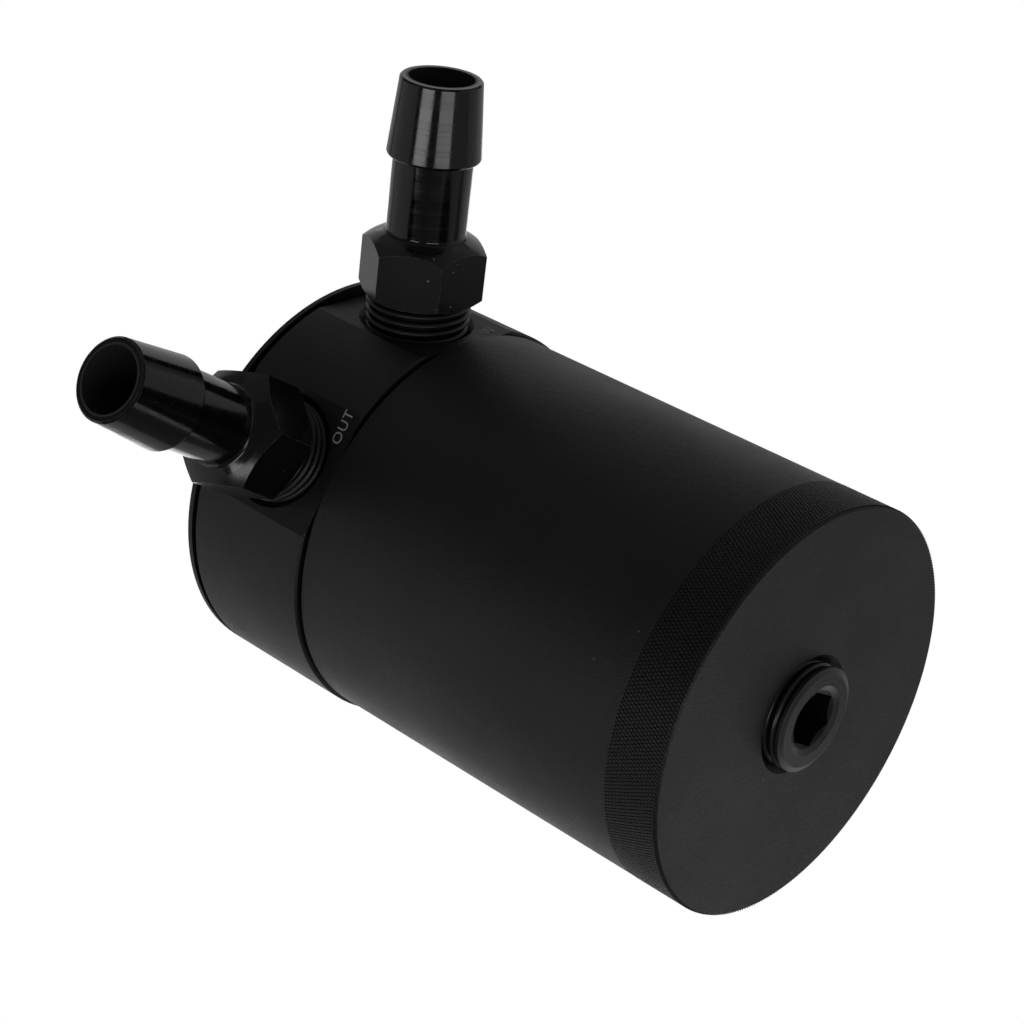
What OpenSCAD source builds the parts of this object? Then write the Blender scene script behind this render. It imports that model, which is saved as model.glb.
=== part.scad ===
// Oil catch can: a turned head with two hose fittings, over a screw-on can with a drain plug.
// The origin is the centre of the head's top face, where its bracket goes, and +Z points up.

/* [Can] */
// Outside diameter of the can
can_d = 65; // [64:0.5:72]
// Length of the can from its rim to its end face
can_l = 72; // [66:1:90]
// Thickness of the can's wall below the thread
can_wall = 3.5; // [3:0.1:4.5]
// Thickness of the can's floor beside the drain hole
floor_t = 9.5; // [9:0.5:13]
// Fall of the floor towards the drain hole, in degrees
floor_fall = 6; // [2:1:10]
// Fillet between the floor and the wall
floor_fillet = 3; // [1:0.5:5]
// Chamfer round the end face
end_chamfer = 0.3; // [0.3:0.1:1]
// Length of the knurled band
knurl_l = 9.1; // [5:0.1:14]
// Depth of the knurl's roots below the can's surface
knurl_depth = 0.1; // [0.1:0.05:0.3]

/* [Head] */
// How far the head stands out past the can, on the radius
head_over = 0.5; // [0.2:0.1:1.5]
// Height of the head from its shoulder to its top face
head_h = 25.7; // [25.5:0.1:32]
// Thickness of the thin flange at the top
flange_t = 1.2; // [0.8:0.1:2]
// Width of the groove below the flange
groove_w = 1; // [0.6:0.1:1.6]
// Depth of the groove below the flange
groove_depth = 2; // [1.9:0.1:2.6]
// Depth of the flats that the hose fittings stand on
flat_depth = 1.6; // [1.2:0.1:1.8]
// Small chamfer on the turned edges of the head and the can's rim
edge_chamfer = 0.3; // [0.1:0.1:0.5]
// Open seam between the head's shoulder and the can's rim
seam_gap = 0.5; // [0.3:0.1:0.8]
// Depth of the chamber's roof below the shoulder
roof_depth = 1.3; // [0.8:0.1:2]

/* [Can thread] */
// Wall of the can outside the thread between it and the head
rim_wall = 3.5; // [3.2:0.1:4]
// Depth of that thread, which is left out: its hole and its spigot are plain, at the core
thread_depth = 0.8; // [0.6:0.05:1]
// Gap between the spigot and its hole, on the radius
thread_clear = 0.08; // [0.03:0.01:0.1]
// Length of the spigot below the shoulder
spigot_l = 12.5; // [11:0.5:15]
// Wall of the spigot
spigot_wall = 3.8; // [3:0.1:4.5]
// Length of the can's thread below the spigot's end
thread_runout = 1.5; // [1:0.1:3]

/* [Can seal] */
// Thickness of the sealing ring
seal_d = 1.6; // [1.4:0.05:1.7]
// Room round the sealing ring in its groove
seal_room = 0.05; // [0.02:0.01:0.1]

/* [Ports] */
// Depth of the ports' centres below the top face
port_drop = 14.2; // [13.5:0.1:16]
// Angle between the two ports, in degrees
port_angle = 60; // [50:1:90]
// Room behind a fitting's end in its port
port_room = 0.7; // [0.5:0.1:1]
// Diameter of the countersink round each port
port_sink_d = 18.4; // [17.6:0.1:19]
// Diameter of the passages behind the ports
passage_d = 10.4; // [10.3:0.1:11]
// Diameter of the drillings that lead down from the passages
down_d = 9; // [8:0.1:9.4]

/* [Pipe threads] */
// Diameter at the roots of a pipe thread's large end: the thread itself is left out
pipe_d = 15.3; // [15:0.1:15.6]
// Narrowing of that diameter for each unit of length
pipe_taper = 0.0625; // [0.05:0.0025:0.07]
// Gap round a pipe thread's roots in its hole, on the radius
pipe_clear = 0.05; // [0.03:0.01:0.1]

/* [Hose fittings] */
// Length of pipe thread left showing between the head and the hexagon
stand_off = 4.6; // [4.2:0.1:6]
// Length of a fitting's pipe thread
pipe_l = 14.5; // [12:0.1:15]
// Hexagon of a fitting, across its flats
hex_af = 17.5; // [16.5:0.1:19]
// Height of the hexagon at its corners
hex_h = 8; // [6:0.1:10]
// Radius of the dome turned on top of the hexagon
hex_dome = 15.7; // [14:0.1:20]
// Chamfer of the hexagon's corners at its underside
hex_foot = 1.2; // [0.6:0.1:1.3]
// Fillet where the shank meets the dome
shank_fillet = 0.8; // [0.4:0.1:1.2]
// Diameter of the shank
shank_d = 12.6; // [12.2:0.1:13.2]
// Length from the hexagon's corners to the barb's shoulder
shank_l = 14.7; // [10:0.1:18]
// Largest diameter of the barb
barb_d = 14.8; // [14:0.1:16]
// Diameter of the barb at its tip
tip_d = 12.9; // [12.4:0.1:13.6]
// Length of the barb
barb_l = 12.5; // [8:0.25:16]
// Rounding of the barb's shoulder
barb_round = 0.5; // [0.3:0.1:1]
// Bore through a fitting
bore_d = 10.3; // [9:0.1:10.3]
// Turn of the outlet's hexagon about its own axis, in degrees
outlet_turn = 17; // [0:1:59]
// Turn of the inlet's hexagon about its own axis, in degrees
inlet_turn = 31; // [0:1:59]

/* [Drain plug] */
// Length of the plug
plug_l = 11; // [10:0.5:12]
// How far the plug stands out of the end face
plug_proud = 2.3; // [1.8:0.1:3]
// Diameter of the plug's rim, where its thread begins
rim_d = 16.6; // [16:0.1:17]
// Height of the plug's rim
rim_h = 0.9; // [0.6:0.1:1.2]
// Height of the chamfer on the rim
rim_chamfer = 0.4; // [0.2:0.05:0.5]
// Width of that chamfer
rim_chamfer_w = 0.9; // [0.5:0.1:1.2]
// Socket of the plug, across its flats
socket_af = 8; // [6:0.5:8]
// Depth of the socket
socket_depth = 6; // [5:0.1:7]
// Turn of the socket about the can's axis, in degrees
socket_turn = 57; // [0:1:59]
// Diameter of the countersink round the socket
socket_sink_d = 11.2; // [10:0.1:12]
// Diameter of the countersink round the drain hole
drain_sink_d = 19; // [17.6:0.1:20]

/* [Filter] */
// Gap between the centre bolt and the filter sleeve, on the radius
filter_gap = 1.1; // [0.8:0.1:1.2]
// Wall of the filter sleeve
filter_wall = 3; // [2.5:0.1:3.1]
// Length of the filter sleeve
filter_l = 26; // [20:0.5:27]
// Thickness of the flat seals at the filter's ends
washer_t = 1.5; // [1:0.1:2]

/* [Baffle] */
// Gap between the baffle's rim and the can's thread, which passes over it
baffle_gap = 0.8; // [0.5:0.1:1.2]
// Thickness of the baffle's sheet
baffle_t = 1.5; // [1:0.1:2]
// Depth of the baffle's turned-down rim
baffle_rim = 4; // [3:0.1:5]
// Diameter of the baffle's holes
baffle_hole_d = 3.2; // [2:0.1:3.6]
// Distance between the baffle's holes, along their rings and between them
baffle_pitch = 5; // [4.4:0.2:8]

/* [Centre bolt] */
// Diameter of the hollow bolt that carries the filter and the baffle
bolt_d = 11.8; // [11:0.1:12]
// Bore of the hollow bolt
bolt_bore = 7; // [6:0.1:8]
// Length of the bolt screwed into the head
bolt_reach = 7; // [6:0.1:7.2]
// Hexagon of the bolt's head, across its flats
bolt_af = 17; // [16:0.5:19]
// Height of the bolt's head
bolt_head_h = 6; // [5:0.1:8]
// Diameter of the bolt's side holes
vent_d = 3; // [2:0.1:4]
// Number of rows of side holes
vent_rows = 3; // [1:1:4]
// Gap round the bolt in its holes, on the radius
bolt_clear = 0.05; // [0.03:0.01:0.1]

/* [Inlet tube] */
// Gap between the drop tube's drilling and the filter
tube_gap = 0.8; // [0.6:0.1:1.4]
// Wall of the drop tube below the inlet
tube_wall = 0.9; // [0.6:0.1:1.2]
// Length of the drop tube inside the head
tube_seat = 4.5; // [4:0.1:4.8]
// Length of the drop tube below the chamber's roof
tube_drop = 20; // [15:0.5:22]
// Gap round the drop tube in its seat, on the radius
tube_clear = 0.05; // [0.03:0.01:0.1]

/* [Bracket holes] */
// Distance between the two tapped holes for a bracket
bracket_pitch = 36; // [28:1:40]
// Diameter of each tapped hole at its core
bracket_hole_d = 5; // [4.2:0.1:6.8]
// Depth of each tapped hole
bracket_depth = 10; // [8:0.5:12]

/* [Hidden] */
$fn = 96;

// Overlap of cutters past the faces that they open
cut = 1;
// Steps in a fillet's arc
arc_steps = 10;

can_r = can_d / 2;
head_r = can_r + head_over;
groove_r = head_r - groove_depth;
flat_x = head_r - flat_depth;
bore_r = can_r - can_wall;
thread_top_r = can_r - rim_wall;
thread_r = thread_top_r - thread_depth;
spigot_r = thread_r - thread_clear;
chamber_r = spigot_r - spigot_wall;

shoulder_z = -head_h;
roof_z = shoulder_z - roof_depth;
spigot_end_z = shoulder_z - spigot_l;
rim_z = shoulder_z - seam_gap;
end_z = rim_z - can_l;
port_z = -port_drop;

// The ports lie either side of the front, which faces -Y.
outlet_az = -90 - port_angle / 2;
inlet_az = -90 + port_angle / 2;
port_depth = pipe_l - stand_off + port_room;
port_end = flat_x - port_depth;
passage_r = passage_d / 2;

// The sealing ring lies in a groove in the can's rim, midway between the thread and the outside.
seal_mean_r = (thread_top_r + can_r) / 2;
seal_groove_w = seal_d + 2 * seal_room;
seal_groove_h = seal_d + 2 * seal_room - seam_gap;

// The stack below the chamber's roof: seal, filter, seal, baffle, bolt head
filter_z = roof_z - washer_t;
lower_seal_z = filter_z - filter_l;
baffle_z = lower_seal_z - washer_t;
bolt_head_z = baffle_z - baffle_t;
bolt_r = bolt_d / 2;
filter_bore_r = bolt_r + filter_gap;
filter_r = filter_bore_r + filter_wall;
baffle_r = min(bore_r, thread_r) - baffle_gap;

// The inlet's drilling and its drop tube pass beside the filter.
inlet_pitch = filter_r + tube_gap + passage_r;

// The dome on a hexagon is part of a sphere, and a fillet leads from it to the shank.
corner_r = hex_af / 2 / cos(30);
shank_r = shank_d / 2;
dome_z = hex_h - sqrt(pow(hex_dome, 2) - pow(corner_r, 2));
fillet_r = shank_r + shank_fillet;
fillet_z = dome_z + sqrt(pow(hex_dome + shank_fillet, 2) - pow(fillet_r, 2));
shoulder_h = hex_h + shank_l;
tip_h = shoulder_h + barb_l;

// Radius of a pipe thread at a distance from its large end
function pipe_r(x) = (pipe_d - x * pipe_taper) / 2;

// Points of an arc, in degrees
function arc(x, y, r, from, to) =
    [for (i = [0 : arc_steps]) let (a = from + (to - from) * i / arc_steps) [x + r * cos(a), y + r * sin(a)]];

// A flat ring with its lower face at z
module ring(outer_r, inner_r, h, z) {
    translate([0, 0, z])
        difference() {
            cylinder(h = h, r = outer_r);
            translate([0, 0, -cut])
                cylinder(h = h + 2 * cut, r = inner_r);
        }
}

// Places its children on a port: +Z goes out of the port and +X goes up.
module on_port(azimuth, distance) {
    rotate([0, 0, azimuth])
        translate([distance, 0, port_z])
            rotate([0, 90, 0])
                rotate([0, 0, 180])
                    children();
}

module head_turning() {
    low_groove_z = -flange_t - groove_w;
    rotate_extrude()
        polygon([
            [0, 0],
            [head_r - edge_chamfer, 0],
            [head_r, -edge_chamfer],
            [head_r, -flange_t],
            [groove_r, -flange_t],
            [groove_r, low_groove_z],
            [head_r, low_groove_z],
            [head_r, shoulder_z + edge_chamfer],
            [head_r - edge_chamfer, shoulder_z],
            [spigot_r, shoulder_z],
            [spigot_r, spigot_end_z + edge_chamfer],
            [spigot_r - edge_chamfer, spigot_end_z],
            [chamber_r, spigot_end_z],
            [chamber_r, roof_z],
            [0, roof_z]
        ]);
}

// The flat, the tapered thread hole and the passage behind it
module port_cut(azimuth, passage_end) {
    flat_w = 2 * head_r;
    flat_h = head_h - flange_t - groove_w / 2;
    rotate([0, 0, azimuth])
        translate([flat_x, -flat_w / 2, shoulder_z - cut])
            cube([2 * flat_depth, flat_w, flat_h + cut]);
    mouth_r = pipe_r(stand_off) + pipe_clear;
    end_r = pipe_r(stand_off + port_depth) + pipe_clear;
    sink_h = port_sink_d / 2 - mouth_r;
    on_port(azimuth, port_end)
        cylinder(h = port_depth, r1 = end_r, r2 = mouth_r);
    on_port(azimuth, flat_x - sink_h)
        cylinder(h = sink_h, r1 = mouth_r, r2 = port_sink_d / 2);
    on_port(azimuth, passage_end)
        cylinder(h = port_end - passage_end + cut, r = passage_r);
}

module head() {
    color("#161617")
        difference() {
            head_turning();
            port_cut(outlet_az, -passage_r);
            port_cut(inlet_az, inlet_pitch - passage_r);
            // The outlet's drilling, and the hole of the centre bolt below it
            translate([0, 0, roof_z])
                cylinder(h = port_z - roof_z, d = down_d);
            translate([0, 0, roof_z - cut])
                cylinder(h = bolt_reach + cut, r = bolt_r + bolt_clear);
            // The inlet's drilling, and the seat of its tube, which also clears the spigot's wall
            rotate([0, 0, inlet_az])
                translate([inlet_pitch, 0, 0]) {
                    translate([0, 0, roof_z])
                        cylinder(h = port_z - roof_z, d = down_d);
                    translate([0, 0, spigot_end_z - cut])
                        cylinder(h = roof_z + tube_seat - spigot_end_z + cut, r = passage_r);
                }
            for (side = [-1, 1])
                translate([side * bracket_pitch / 2, 0, -bracket_depth])
                    cylinder(h = bracket_depth + cut, d = bracket_hole_d);
        }
}

module can() {
    band_r = can_r - knurl_depth;
    band_z = end_z + end_chamfer;
    thread_end_z = spigot_end_z - thread_runout;
    floor_z = end_z + floor_t;
    wall_foot_z = floor_z + bore_r * tan(floor_fall);
    hole_r = pipe_r(plug_proud) + pipe_clear;
    hole_end_r = pipe_r(plug_proud + floor_t + cut) + pipe_clear;
    sink_h = drain_sink_d / 2 - hole_r;
    thread_step = abs(bore_r - thread_r);
    color("#18181a")
        difference() {
            rotate_extrude()
                polygon(concat(
                    [
                        [0, end_z],
                        [band_r - end_chamfer, end_z],
                        [band_r, band_z],
                        [band_r, band_z + knurl_l],
                        [can_r, band_z + knurl_l],
                        [can_r, rim_z - edge_chamfer],
                        [can_r - edge_chamfer, rim_z],
                        [thread_r + edge_chamfer, rim_z],
                        [thread_r, rim_z - edge_chamfer],
                        [thread_r, thread_end_z],
                        [bore_r, thread_end_z - thread_step]
                    ],
                    arc(bore_r - floor_fillet, wall_foot_z + floor_fillet, floor_fillet, 0, -90 + floor_fall),
                    [[0, floor_z]]
                ));
            translate([0, 0, end_z])
                cylinder(h = floor_t + cut, r1 = hole_r, r2 = hole_end_r);
            translate([0, 0, end_z - cut])
                cylinder(h = cut, r = hole_r);
            translate([0, 0, end_z])
                cylinder(h = sink_h, r1 = drain_sink_d / 2, r2 = hole_r);
            ring(seal_mean_r + seal_groove_w / 2, seal_mean_r - seal_groove_w / 2, seal_groove_h + cut,
                 rim_z - seal_groove_h);
        }
}

module can_seal() {
    color("#101010")
        translate([0, 0, shoulder_z - seal_room - seal_d / 2])
            rotate_extrude()
                translate([seal_mean_r, 0])
                    circle(d = seal_d, $fn = 32);
}

module drain_plug() {
    rim_r = rim_d / 2;
    nose_r = pipe_r(plug_l);
    sink_h = (socket_sink_d - socket_af) / 4;
    color("#3a3a3d")
        translate([0, 0, end_z - plug_proud])
            difference() {
                rotate_extrude()
                    polygon([
                        [0, 0],
                        [rim_r - rim_chamfer_w, 0],
                        [rim_r, rim_chamfer],
                        [rim_r, rim_h],
                        [pipe_r(rim_h), rim_h],
                        [pipe_r(plug_l - edge_chamfer), plug_l - edge_chamfer],
                        [nose_r - edge_chamfer, plug_l],
                        [0, plug_l]
                    ]);
                rotate([0, 0, socket_turn])
                    translate([0, 0, -cut])
                        cylinder(h = socket_depth + cut, d = socket_af / cos(30), $fn = 6);
                cylinder(h = sink_h, d1 = socket_sink_d, d2 = socket_af);
            }
}

// The turned stem of a hose fitting: pipe thread, shank and barb, with the hexagon's underside at z = 0
module stem() {
    meet = hex_dome / (hex_dome + shank_fillet);
    meet_angle = atan2(fillet_z - dome_z, fillet_r);
    barb_r = barb_d / 2;
    rotate_extrude()
        polygon(concat(
            [
                [0, -pipe_l],
                [pipe_r(pipe_l) - edge_chamfer, -pipe_l],
                [pipe_r(pipe_l - edge_chamfer), -pipe_l + edge_chamfer],
                [pipe_r(0), 0],
                [pipe_r(0), hex_h],
                [meet * fillet_r, dome_z + meet * (fillet_z - dome_z)]
            ],
            arc(fillet_r, fillet_z, shank_fillet, 180 + meet_angle, 180),
            [[shank_r, shoulder_h]],
            arc(barb_r - barb_round, shoulder_h + barb_round, barb_round, -90, 0),
            [[tip_d / 2, tip_h - edge_chamfer], [tip_d / 2 - edge_chamfer, tip_h], [0, tip_h]]
        ));
}

// The hexagon, turned to a dome on top and to a cone below, which leave an arc on each of its faces
module hexagon(turn) {
    foot_slope = tan(30);
    foot_r = corner_r - hex_foot;
    intersection() {
        rotate([0, 0, turn])
            cylinder(h = hex_dome, r = corner_r, $fn = 6);
        translate([0, 0, dome_z])
            sphere(r = hex_dome);
        cylinder(h = hex_dome, r1 = foot_r, r2 = foot_r + hex_dome / foot_slope);
    }
}

module hose_fitting(turn) {
    color("#0c0c0d")
        difference() {
            union() {
                stem();
                hexagon(turn);
            }
            translate([0, 0, -pipe_l - cut])
                cylinder(h = pipe_l + tip_h + 2 * cut, d = bore_d);
        }
}

module outlet_fitting() {
    on_port(outlet_az, flat_x + stand_off)
        hose_fitting(outlet_turn);
}

module inlet_fitting() {
    on_port(inlet_az, flat_x + stand_off)
        hose_fitting(inlet_turn);
}

module inlet_tube() {
    tube_r = passage_r - tube_clear;
    color("#8c8f92")
        rotate([0, 0, inlet_az])
            translate([inlet_pitch, 0, 0])
                ring(tube_r, tube_r - tube_wall, tube_seat + tube_drop, roof_z - tube_drop);
}

module filter_top_seal() {
    color("#141414")
        ring(filter_r, bolt_r + bolt_clear, washer_t, filter_z);
}

module filter_sleeve() {
    color("#9a6b3a")
        ring(filter_r, filter_bore_r, filter_l, lower_seal_z);
}

module filter_bottom_seal() {
    color("#141414")
        ring(filter_r, bolt_r + bolt_clear, washer_t, baffle_z);
}

// A pressed disc with a turned-down rim, drilled in rings between its centre and its rim
module baffle_plate() {
    top = baffle_z;
    low = baffle_z - baffle_t;
    bend = baffle_t;
    first_ring = bolt_af / 2 / cos(30) + baffle_hole_d;
    last_ring = baffle_r - 2 * baffle_t - baffle_hole_d;
    last_k = floor((last_ring - first_ring) / baffle_pitch);
    color("#8c8f92")
        difference() {
            rotate_extrude()
                polygon(concat(
                    [[bolt_r + bolt_clear, low], [bolt_r + bolt_clear, top]],
                    arc(baffle_r - bend, top - bend, bend, 90, 0),
                    [[baffle_r, top - baffle_rim], [baffle_r - baffle_t, top - baffle_rim], [baffle_r - baffle_t, low]]
                ));
            for (k = [0 : last_k])
                let (r = first_ring + k * baffle_pitch, count = floor(2 * PI * r / baffle_pitch))
                    for (i = [0 : count - 1])
                        rotate([0, 0, (i + k / 2) * 360 / count])
                            translate([r, 0, low - cut])
                                cylinder(h = baffle_t + 2 * cut, d = baffle_hole_d, $fn = 24);
        }
}

// A hollow bolt: gas comes through the filter and the side holes, and leaves up its bore.
module centre_bolt() {
    shaft_top = roof_z + bolt_reach;
    shaft_l = shaft_top - bolt_head_z;
    bore_end = lower_seal_z;
    head_r = bolt_af / 2 / cos(30);
    row_step = filter_l / (vent_rows + 1);
    color("#7d8083")
        difference() {
            union() {
                translate([0, 0, bolt_head_z])
                    cylinder(h = shaft_l - edge_chamfer, r = bolt_r);
                translate([0, 0, shaft_top - edge_chamfer])
                    cylinder(h = edge_chamfer, r1 = bolt_r, r2 = bolt_r - edge_chamfer);
                intersection() {
                    translate([0, 0, bolt_head_z - bolt_head_h])
                        cylinder(h = bolt_head_h, r = head_r, $fn = 6);
                    translate([0, 0, bolt_head_z - bolt_head_h])
                        rotate_extrude()
                            polygon([
                                [0, 0],
                                [bolt_af / 2 - edge_chamfer, 0],
                                [head_r, (head_r - bolt_af / 2 + edge_chamfer) * tan(30)],
                                [head_r, bolt_head_h],
                                [0, bolt_head_h]
                            ]);
                }
            }
            translate([0, 0, bore_end])
                cylinder(h = shaft_top - bore_end + cut, d = bolt_bore);
            for (row = [1 : vent_rows])
                translate([0, 0, lower_seal_z + row * row_step])
                    for (turn = [0, 90])
                        rotate([0, 90, turn + row * 45])
                            cylinder(h = bolt_d + 2 * cut, d = vent_d, center = true, $fn = 24);
        }
}

head();
can();
can_seal();
drain_plug();
outlet_fitting();
inlet_fitting();
inlet_tube();
filter_top_seal();
filter_sleeve();
filter_bottom_seal();
baffle_plate();
centre_bolt();
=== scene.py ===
import bmesh
import bpy
import math
from mathutils import Matrix, Vector


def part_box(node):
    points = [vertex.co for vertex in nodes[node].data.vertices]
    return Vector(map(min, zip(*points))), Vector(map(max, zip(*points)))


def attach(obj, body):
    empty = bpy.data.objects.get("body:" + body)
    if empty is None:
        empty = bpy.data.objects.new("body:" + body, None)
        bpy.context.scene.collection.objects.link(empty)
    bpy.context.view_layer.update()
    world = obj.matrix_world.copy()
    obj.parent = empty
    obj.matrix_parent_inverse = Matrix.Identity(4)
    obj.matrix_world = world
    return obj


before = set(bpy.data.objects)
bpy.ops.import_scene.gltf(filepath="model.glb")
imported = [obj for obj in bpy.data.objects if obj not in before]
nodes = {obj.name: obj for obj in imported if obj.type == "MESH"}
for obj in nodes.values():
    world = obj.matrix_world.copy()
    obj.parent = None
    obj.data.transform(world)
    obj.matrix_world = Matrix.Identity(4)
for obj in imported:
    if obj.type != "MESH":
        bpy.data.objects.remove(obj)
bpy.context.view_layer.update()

mm = 0.001
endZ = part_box("can")[0].z          # the can's end face
portZ = (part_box("inlet_fitting")[0].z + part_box("inlet_fitting")[1].z) / 2
outletAzimuth = -120               # degrees about +Z, from +X
inletAzimuth = -60


# Camera and studio

camera = {
    "lens": 86.62,                          # mm
    "sensor": 36,                           # mm
    "clip": (0.01, 20),                     # metres
    "place": (-141.48, -286.65, -263.04),   # mm
    "aim": (5.76, -2.99, -35.88),           # mm
    "roll": -62.45,                         # degrees
}

def makeCamera():
    data = bpy.data.cameras.new("camera")
    data.lens = camera["lens"]
    data.sensor_width = camera["sensor"]
    data.clip_start, data.clip_end = camera["clip"]
    cam = bpy.data.objects.new("camera", data)
    bpy.context.scene.collection.objects.link(cam)
    place = Vector(camera["place"]) * mm
    look = Vector(camera["aim"]) * mm - place
    turn = look.to_track_quat("-Z", "Y").to_matrix() @ Matrix.Rotation(math.radians(camera["roll"]), 3, "Z")
    cam.matrix_world = Matrix.Translation(place) @ turn.to_4x4()
    bpy.context.scene.camera = cam
    return cam

cam = makeCamera()
cameraTurn = cam.matrix_world.to_3x3()
subject = Vector((0, -0.01, -0.05))         # what the lamps aim at

lampDistance = 0.9                          # metres from the subject
lamps = [
    # Name, azimuth, elevation, size in metres and watts.
    # Azimuth 0 is behind the camera, 90 on its right and 180 at the backdrop.
    ("frontLeftBox", -37, -22, (0.52, 0.20), 1.15),
    ("frontRightBox", 23, -29, (0.58, 0.22), 0.96),
    ("rightPanel", 98, 8, (1.15, 0.75), 0.62),
    ("rightLowPanel", 72, -32, (0.95, 0.50), 0.20),
    ("rightFloorPanel", 122, -42, (0.75, 0.45), 0.60),
    ("rightTopPanel", 90, 48, (0.80, 0.50), 0.14),
    ("rightBackPanel", 150, -5, (0.70, 0.80), 0.46),
    ("backPanel", 180, -10, (0.60, 0.70), 1.40),
    ("backTopPanel", 170, 36, (0.85, 0.60), 0.66),
    ("backLowPanel", -170, -43, (0.70, 0.50), 0.26),
    ("leftPanel", -95, -8, (1.04, 0.69), 0.64),
    ("leftLowPanel", -125, -42, (0.80, 0.50), 0.50),
    ("leftBackPanel", -150, -3, (0.70, 0.80), 0.52),
    ("leftTopPanel", -146, 36, (0.42, 0.60), 0.26),
    ("topPanel", -10, 80, (1.00, 1.00), 0.22),
]

def makeLamps():
    for name, azimuth, elevation, size, watts in lamps:
        data = bpy.data.lights.new(name, "AREA")
        data.shape = "RECTANGLE"
        data.size, data.size_y = size
        data.energy = watts
        lamp = bpy.data.objects.new(name, data)
        bpy.context.scene.collection.objects.link(lamp)
        turn, lift = math.radians(azimuth), math.radians(elevation)
        flat = math.cos(lift)
        away = Vector((math.sin(turn) * flat, math.sin(lift), math.cos(turn) * flat))
        across = Vector((0, 1, 0)).cross(away).normalized()
        stand = cameraTurn @ Matrix((across, away.cross(across), away)).transposed()
        place = subject + cameraTurn @ away * lampDistance
        lamp.matrix_world = Matrix.Translation(place) @ stand.to_4x4()
        lamp.visible_camera = False

world = {"ambient": 0.12, "reflected": 0.10, "backdrop": 1.0}

def makeWorld():
    studio = bpy.data.worlds.new("studio")
    bpy.context.scene.world = studio
    studio.use_nodes = True
    tree = studio.node_tree
    tree.nodes.clear()
    out = tree.nodes.new("ShaderNodeOutputWorld")
    path = tree.nodes.new("ShaderNodeLightPath")
    fields = {}
    for key, strength in world.items():
        fields[key] = tree.nodes.new("ShaderNodeBackground")
        fields[key].inputs["Color"].default_value = (1, 1, 1, 1)
        fields[key].inputs["Strength"].default_value = strength
    byGloss = tree.nodes.new("ShaderNodeMixShader")
    byCamera = tree.nodes.new("ShaderNodeMixShader")
    tree.links.new(path.outputs["Is Glossy Ray"], byGloss.inputs[0])
    tree.links.new(fields["ambient"].outputs[0], byGloss.inputs[1])
    tree.links.new(fields["reflected"].outputs[0], byGloss.inputs[2])
    tree.links.new(path.outputs["Is Camera Ray"], byCamera.inputs[0])
    tree.links.new(byGloss.outputs[0], byCamera.inputs[1])
    tree.links.new(fields["backdrop"].outputs[0], byCamera.inputs[2])
    tree.links.new(byCamera.outputs[0], out.inputs[0])

floorPaper = {
    "height": -1.60,            # metres
    "half": 3.0,                # metres, half of its width
    "grey": 0.30,
    "glow": 0.055,              # what it gives to the part
    "shown": 0.72,              # what it adds where the camera sees it
}

def makeFloor():
    half, z = floorPaper["half"], floorPaper["height"]
    mesh = bpy.data.meshes.new("floor")
    corners = [(-half, -half, z), (half, -half, z), (half, half, z), (-half, half, z)]
    mesh.from_pydata(corners, [], [(0, 1, 2, 3)])
    floor = bpy.data.objects.new("floor", mesh)
    bpy.context.scene.collection.objects.link(floor)
    paper = bpy.data.materials.new("palePaper")
    paper.use_nodes = True
    tree = paper.node_tree
    tree.nodes.clear()
    out = tree.nodes.new("ShaderNodeOutputMaterial")
    path = tree.nodes.new("ShaderNodeLightPath")
    plain = tree.nodes.new("ShaderNodeBsdfDiffuse")
    plain.inputs["Color"].default_value = (floorPaper["grey"],) * 3 + (1,)
    light = tree.nodes.new("ShaderNodeEmission")
    seen = path.outputs["Is Camera Ray"]
    strength = makeRange(tree, seen, 0.0, 1.0, floorPaper["glow"], floorPaper["shown"])
    tree.links.new(strength, light.inputs["Strength"])
    both = tree.nodes.new("ShaderNodeAddShader")
    tree.links.new(plain.outputs[0], both.inputs[0])
    tree.links.new(light.outputs[0], both.inputs[1])
    tree.links.new(both.outputs[0], out.inputs[0])
    mesh.materials.append(paper)

makeLamps()
makeWorld()
bpy.context.scene.view_settings.view_transform = "Standard"
print("camera and lamps made")


# Shader node groups: each takes a place in millimetres and gives heights, masks or tones

def newGroup(name, inputs, outputs):
    group = bpy.data.node_groups.new(name, "ShaderNodeTree")
    for label, kind, value in inputs:
        socket = group.interface.new_socket(label, in_out="INPUT", socket_type="NodeSocket" + kind)
        if value is not None:
            socket.default_value = value
    for label, kind in outputs:
        group.interface.new_socket(label, in_out="OUTPUT", socket_type="NodeSocket" + kind)
    return group, group.nodes.new("NodeGroupInput"), group.nodes.new("NodeGroupOutput")

def feed(tree, socket, value):
    if isinstance(value, bpy.types.NodeSocket):
        tree.links.new(value, socket)
    else:
        socket.default_value = value

def doMath(tree, operation, *values):
    node = tree.nodes.new("ShaderNodeMath")
    node.operation = operation
    for i, value in enumerate(values):
        feed(tree, node.inputs[i], value)
    return node.outputs[0]

def makeNoise(tree, vector, scale, detail=2.0, roughness=0.5):
    node = tree.nodes.new("ShaderNodeTexNoise")
    feed(tree, node.inputs["Vector"], vector)
    feed(tree, node.inputs["Scale"], scale)
    feed(tree, node.inputs["Detail"], detail)
    feed(tree, node.inputs["Roughness"], roughness)
    return node.outputs["Fac"]

def makeRange(tree, value, low, high, newLow, newHigh):
    node = tree.nodes.new("ShaderNodeMapRange")
    labels = ("Value", "From Min", "From Max", "To Min", "To Max")
    for label, number in zip(labels, (value, low, high, newLow, newHigh)):
        feed(tree, node.inputs[label], number)
    return node.outputs[0]

toneReach = 0.8                 # a group's tone runs from minus this to this

def makeToneRange(tree, tone, low, high):
    return makeRange(tree, tone, -toneReach, toneReach, low, high)

def makeSpread(tree, tone, middle, change):
    return makeToneRange(tree, tone, middle - change, middle + change)

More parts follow.
